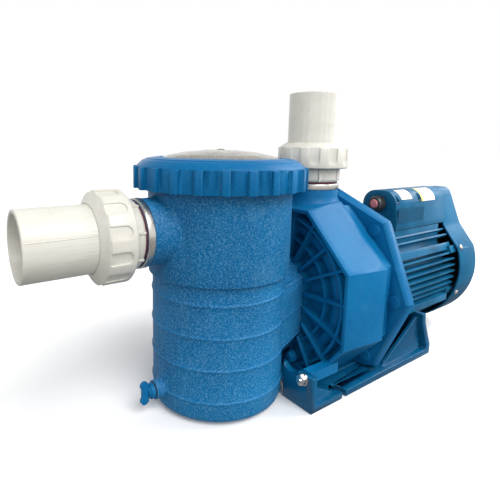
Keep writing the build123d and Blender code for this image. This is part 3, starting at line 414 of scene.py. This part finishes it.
def dress(node, piece):
    """Gives a CAD node its material and softens its hard edges."""
    piece.data.materials.clear()
    piece.data.materials.append(SPECIAL.get(node, finishes[slot_of[node]]))
    for face in piece.data.polygons:
        face.material_index = 0
        face.use_smooth = True
    width = EDGE_WIDTH.get(slot_of[node])
    weld = piece.modifiers.new("weld", "WELD")
    weld.merge_threshold = WELD_DISTANCE
    if width:
        bevel = piece.modifiers.new("bevel", "BEVEL")
        bevel.width = width
        bevel.segments = 2
        bevel.limit_method = "ANGLE"
        bevel.angle_limit = SHARP_ANGLE
        bevel.harden_normals = True
        bevel.use_clamp_overlap = True
    else:
        split = piece.modifiers.new("split", "EDGE_SPLIT")
        split.split_angle = SHARP_ANGLE


for name, piece in nodes.items():
    dress(name, piece)


# ---- pieces added to the CAD ----

def new_piece(name, mesh_maker, material, body):
    mesh = bpy.data.meshes.new(name)
    grid = bmesh.new()
    mesh_maker(grid)
    grid.to_mesh(mesh)
    grid.free()
    piece = bpy.data.objects.new(name, mesh)
    scene.collection.objects.link(piece)
    mesh.materials.append(material)
    for face in mesh.polygons:
        face.use_smooth = True
    split = piece.modifiers.new("split", "EDGE_SPLIT")
    split.split_angle = SHARP_ANGLE
    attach(piece, body)


CORNER_STEPS = 6


def rounded_outline(half_width, half_height, radius):
    points = []
    for corner in range(4):
        side = 1 if corner in (0, 3) else -1
        rise = 1 if corner in (0, 1) else -1
        for step in range(CORNER_STEPS + 1):
            angle = math.radians(90 * corner + 90 * step / CORNER_STEPS)
            points.append((side * (half_width - radius) + radius * math.cos(angle),
                           rise * (half_height - radius) + radius * math.sin(angle)))
    return points


def stand_between(grid, outlines):
    """Closed sheet through a stack of equal outlines, each a list of 3-D points."""
    rings = [[grid.verts.new(point) for point in outline] for outline in outlines]
    for low, high in zip(rings, rings[1:]):
        for index in range(len(low)):
            following = (index + 1) % len(low)
            grid.faces.new((low[index], low[following], high[following], high[index]))
    grid.faces.new(rings[-1])
    grid.faces.new(list(reversed(rings[0])))
    bmesh.ops.recalc_face_normals(grid, faces=grid.faces)


DECAL_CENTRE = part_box("terminal_box")[0] + Vector((0.0465, -0.00002, 0.0250))
DECAL_HALF_WIDTH, DECAL_HALF_HEIGHT, DECAL_CORNER = 0.0435, 0.0130, 0.0025
# each outline's place along Y from the centre, and how much smaller it is
DECAL_STACK = ((0.0001, 0.0), (-0.0002, 0.0), (-0.0004, 0.0001))

SCREEN_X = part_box("fan_cover")[1].x - 0.0046
SCREEN_CENTRE_Z = hinge_place["shaft_spin"][2]
SCREEN_STEPS = 64
# each ring's place along X, and its radius
SCREEN_RINGS = ((0.0, 0.0900), (0.0006, 0.0975), (0.0010, 0.1000), (0.0002, 0.1000), (-0.0008, 0.0900))
WIRE_WAVE = 3600.0  # radians per metre, so a wire about every 1.7 mm


def decal_mesh(grid):
    """Blank film with rounded corners on the near side of the terminal box."""
    stack = []
    for y, inset in DECAL_STACK:
        flat = rounded_outline(DECAL_HALF_WIDTH - inset, DECAL_HALF_HEIGHT - inset, DECAL_CORNER)
        stack.append([DECAL_CENTRE + Vector((x, y, z)) for x, z in flat])
    stand_between(grid, stack)


def screen_mesh(grid):
    """Fine screen behind the fan cover's slots, dished a little and rolled at its rim."""
    stack = []
    for x, radius in SCREEN_RINGS:
        ring = []
        for step in range(SCREEN_STEPS):
            angle = 2 * math.pi * step / SCREEN_STEPS
            up = SCREEN_CENTRE_Z + radius * math.sin(angle)
            ring.append((SCREEN_X + x, radius * math.cos(angle), up))
        stack.append(ring)
    stand_between(grid, stack)


def screen_weave():
    """Dark woven wire: two crossed sets of fine ridges."""
    s = Surface("fine dark screen", rough=0.55, specular=0.2)
    ridges = []
    for letter in ("Y", "Z"):
        wave = s.math("SINE", s.math("MULTIPLY", s.axis(letter), WIRE_WAVE))
        ridges.append(s.ramp(wave, 0.1, 0.9))
    weave = s.math("MAXIMUM", *ridges)
    dust = s.noise(60.0, 4.0, 0.6)
    colour = s.mix(weave, (0.003, 0.003, 0.004), (0.020, 0.021, 0.024))
    colour = s.mix(s.ramp(dust, 0.5, 0.8, 0.0, 0.35), colour, (0.035, 0.034, 0.032))
    return s.finish(colour, s.ramp(dust, 0.3, 0.7, 0.5, 0.7), s.bump(weave, 0.0003))


TAIL_RADIUS = 0.0430
SEAM_WIDTH, SEAM_HEIGHT, SEAM_SUNK, SEAM_TAPER, SEAM_STEPS = 0.0012, 0.0005, 0.0003, 0.002, 8
SEAM_END_SHARE = 0.3  # how much of its height a seam keeps at its ends
SEAM_TO_NUT, SEAM_TO_RIM = 0.0012, 0.0025  # bare pipe left beyond each end


def seam_maker(origin, along, outward, start, end):
    """Mesh maker for a mould seam raised along a tailpiece: half-round, with tapered ends."""
    side = along.cross(outward)

    def corner(at, rise, across):
        return origin + along * at + outward * (TAIL_RADIUS + rise) + side * across

    def make(grid):
        stack = []
        for at, share in ((start, SEAM_END_SHARE), (start + SEAM_TAPER, 1.0),
                          (end - SEAM_TAPER, 1.0), (end, SEAM_END_SHARE)):
            ring = []
            for step in range(SEAM_STEPS + 1):
                angle = math.pi * step / SEAM_STEPS
                rise = math.sin(angle) * SEAM_HEIGHT * share
                ring.append(corner(at, rise, math.cos(angle) * SEAM_WIDTH / 2))
            ring.append(corner(at, -SEAM_SUNK, -SEAM_WIDTH / 2))
            ring.append(corner(at, -SEAM_SUNK, SEAM_WIDTH / 2))
            stack.append(ring)
        stand_between(grid, stack)

    return make


def suction_seam():
    """Seam on the near upper side of the suction tailpiece, from its rim to its nut."""
    axis = Vector((0, 0, hinge_place["suction_nut_turn"][2]))
    outward = Vector((0, -0.9630, 0.2695)).normalized()
    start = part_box("suction_tailpiece")[0].x + SEAM_TO_RIM
    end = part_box("suction_union_nut")[0].x - SEAM_TO_NUT
    return seam_maker(axis, Vector((1, 0, 0)), outward, start, end)


def discharge_seam():
    """Seam on the pot side of the discharge tailpiece, from its nut to its rim."""
    axis = Vector((hinge_place["discharge_nut_turn"][0], 0, 0))
    outward = Vector((-0.9753, -0.2206, 0)).normalized()
    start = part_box("discharge_union_nut")[1].z + SEAM_TO_NUT
    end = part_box("discharge_tailpiece")[1].z - SEAM_TO_RIM
    return seam_maker(axis, Vector((0, 0, 1)), outward, start, end)


new_piece("suction_mould_seam", suction_seam(), finishes["white_pvc"], "suction_tail")
new_piece("discharge_mould_seam", discharge_seam(), finishes["white_pvc"], "discharge_tail")

decal = painted_metal("decal film", (0.001, 0.088, 0.185), (0.003, 0.110, 0.215), (0.001, 0.060, 0.135), 0.4)
new_piece("box_side_decal", decal_mesh, decal, "pump")
new_piece("fan_cover_screen", screen_mesh, screen_weave(), "pump")


# ---- stage ----

FLOOR_REACH, FLOOR_DROP = 60.0, 0.0005
SUN_POWER, SUN_SPREAD, SUN_FROM = 2.3, math.radians(40), Vector((0.02, -0.7, 0.78))
# name, place, what it points at, side in metres, power in watts
LAMPS = (
    ("window", (1.7, -0.6, 1.6), (0, 0, 0.2), 1.6, 42),
    ("front left", (-2.2, -1.4, 1.5), (-0.1, 0, 0.2), 1.2, 9),
)


def make_stage():
    """Pale floor, left out of diffuse and glossy rays so that it throws no light up onto the pump."""
    floor_mesh = bpy.data.meshes.new("floor")
    corners = [(x * FLOOR_REACH, y * FLOOR_REACH, 0) for x, y in ((-1, -1), (1, -1), (1, 1), (-1, 1))]
    floor_mesh.from_pydata(corners, [], [(0, 1, 2, 3)])
    floor = bpy.data.objects.new("floor", floor_mesh)
    scene.collection.objects.link(floor)
    floor.location.z = -FLOOR_DROP
    s = Surface("pale floor", rough=0.55, specular=0.3)
    soft = s.noise(3.0, 3.0, 0.5)
    colour = s.mix(s.ramp(soft, 0.3, 0.7), (0.985, 0.985, 0.985), (0.975, 0.975, 0.975))
    grain = s.bump(s.noise(500.0), 0.00005)
    floor_mesh.materials.append(s.finish(colour, s.ramp(soft, 0.3, 0.7, 0.5, 0.62), grain))
    floor.visible_diffuse = False
    floor.visible_glossy = False


def area_light(name, place, target, size, power):
    data = bpy.data.lights.new(name, "AREA")
    data.energy = power
    data.shape = "SQUARE"
    data.size = size
    light = bpy.data.objects.new(name, data)
    scene.collection.objects.link(light)
    light.location = place
    light.rotation_euler = (Vector(target) - Vector(place)).to_track_quat("-Z", "Y").to_euler()
    light.visible_camera = False


def make_world():
    """White belt round and above the horizon, with a dimmer ceiling and a dim underside."""
    world = bpy.data.worlds.new("studio")
    scene.world = world
    world.use_nodes = True
    tree = world.node_tree
    tree.nodes.clear()
    out = tree.nodes.new("ShaderNodeOutputWorld")
    glow = tree.nodes.new("ShaderNodeBackground")
    place = tree.nodes.new("ShaderNodeTexCoord")
    parts = tree.nodes.new("ShaderNodeSeparateXYZ")
    belt = tree.nodes.new("ShaderNodeValToRGB")
    tree.links.new(place.outputs["Generated"], parts.inputs[0])
    raise_up = tree.nodes.new("ShaderNodeMapRange")
    raise_up.inputs["From Min"].default_value = -1.0
    tree.links.new(parts.outputs["Z"], raise_up.inputs["Value"])
    tree.links.new(raise_up.outputs[0], belt.inputs["Fac"])
    # height from straight down (0) to straight up (1), and how bright the world is there
    stops = ((0.0, 0.32), (0.42, 0.38), (0.49, 1.0), (0.66, 1.0), (0.74, 0.5), (1.0, 0.45))
    while len(belt.color_ramp.elements) < len(stops):
        belt.color_ramp.elements.new(0.5)
    for element, (at, level) in zip(belt.color_ramp.elements, stops):
        element.position = at
        element.color = (level, level, level, 1)
    tree.links.new(belt.outputs["Color"], glow.inputs["Color"])
    glow.inputs["Strength"].default_value = 1.0
    tree.links.new(glow.outputs[0], out.inputs[0])


def make_light():
    make_world()
    key = bpy.data.lights.new("key", "SUN")
    key.energy = SUN_POWER
    key.angle = SUN_SPREAD
    lamp = bpy.data.objects.new("key", key)
    scene.collection.objects.link(lamp)
    lamp.rotation_euler = SUN_FROM.to_track_quat("Z", "Y").to_euler()
    for lamp_facts in LAMPS:
        area_light(*lamp_facts)


make_stage()
make_light()
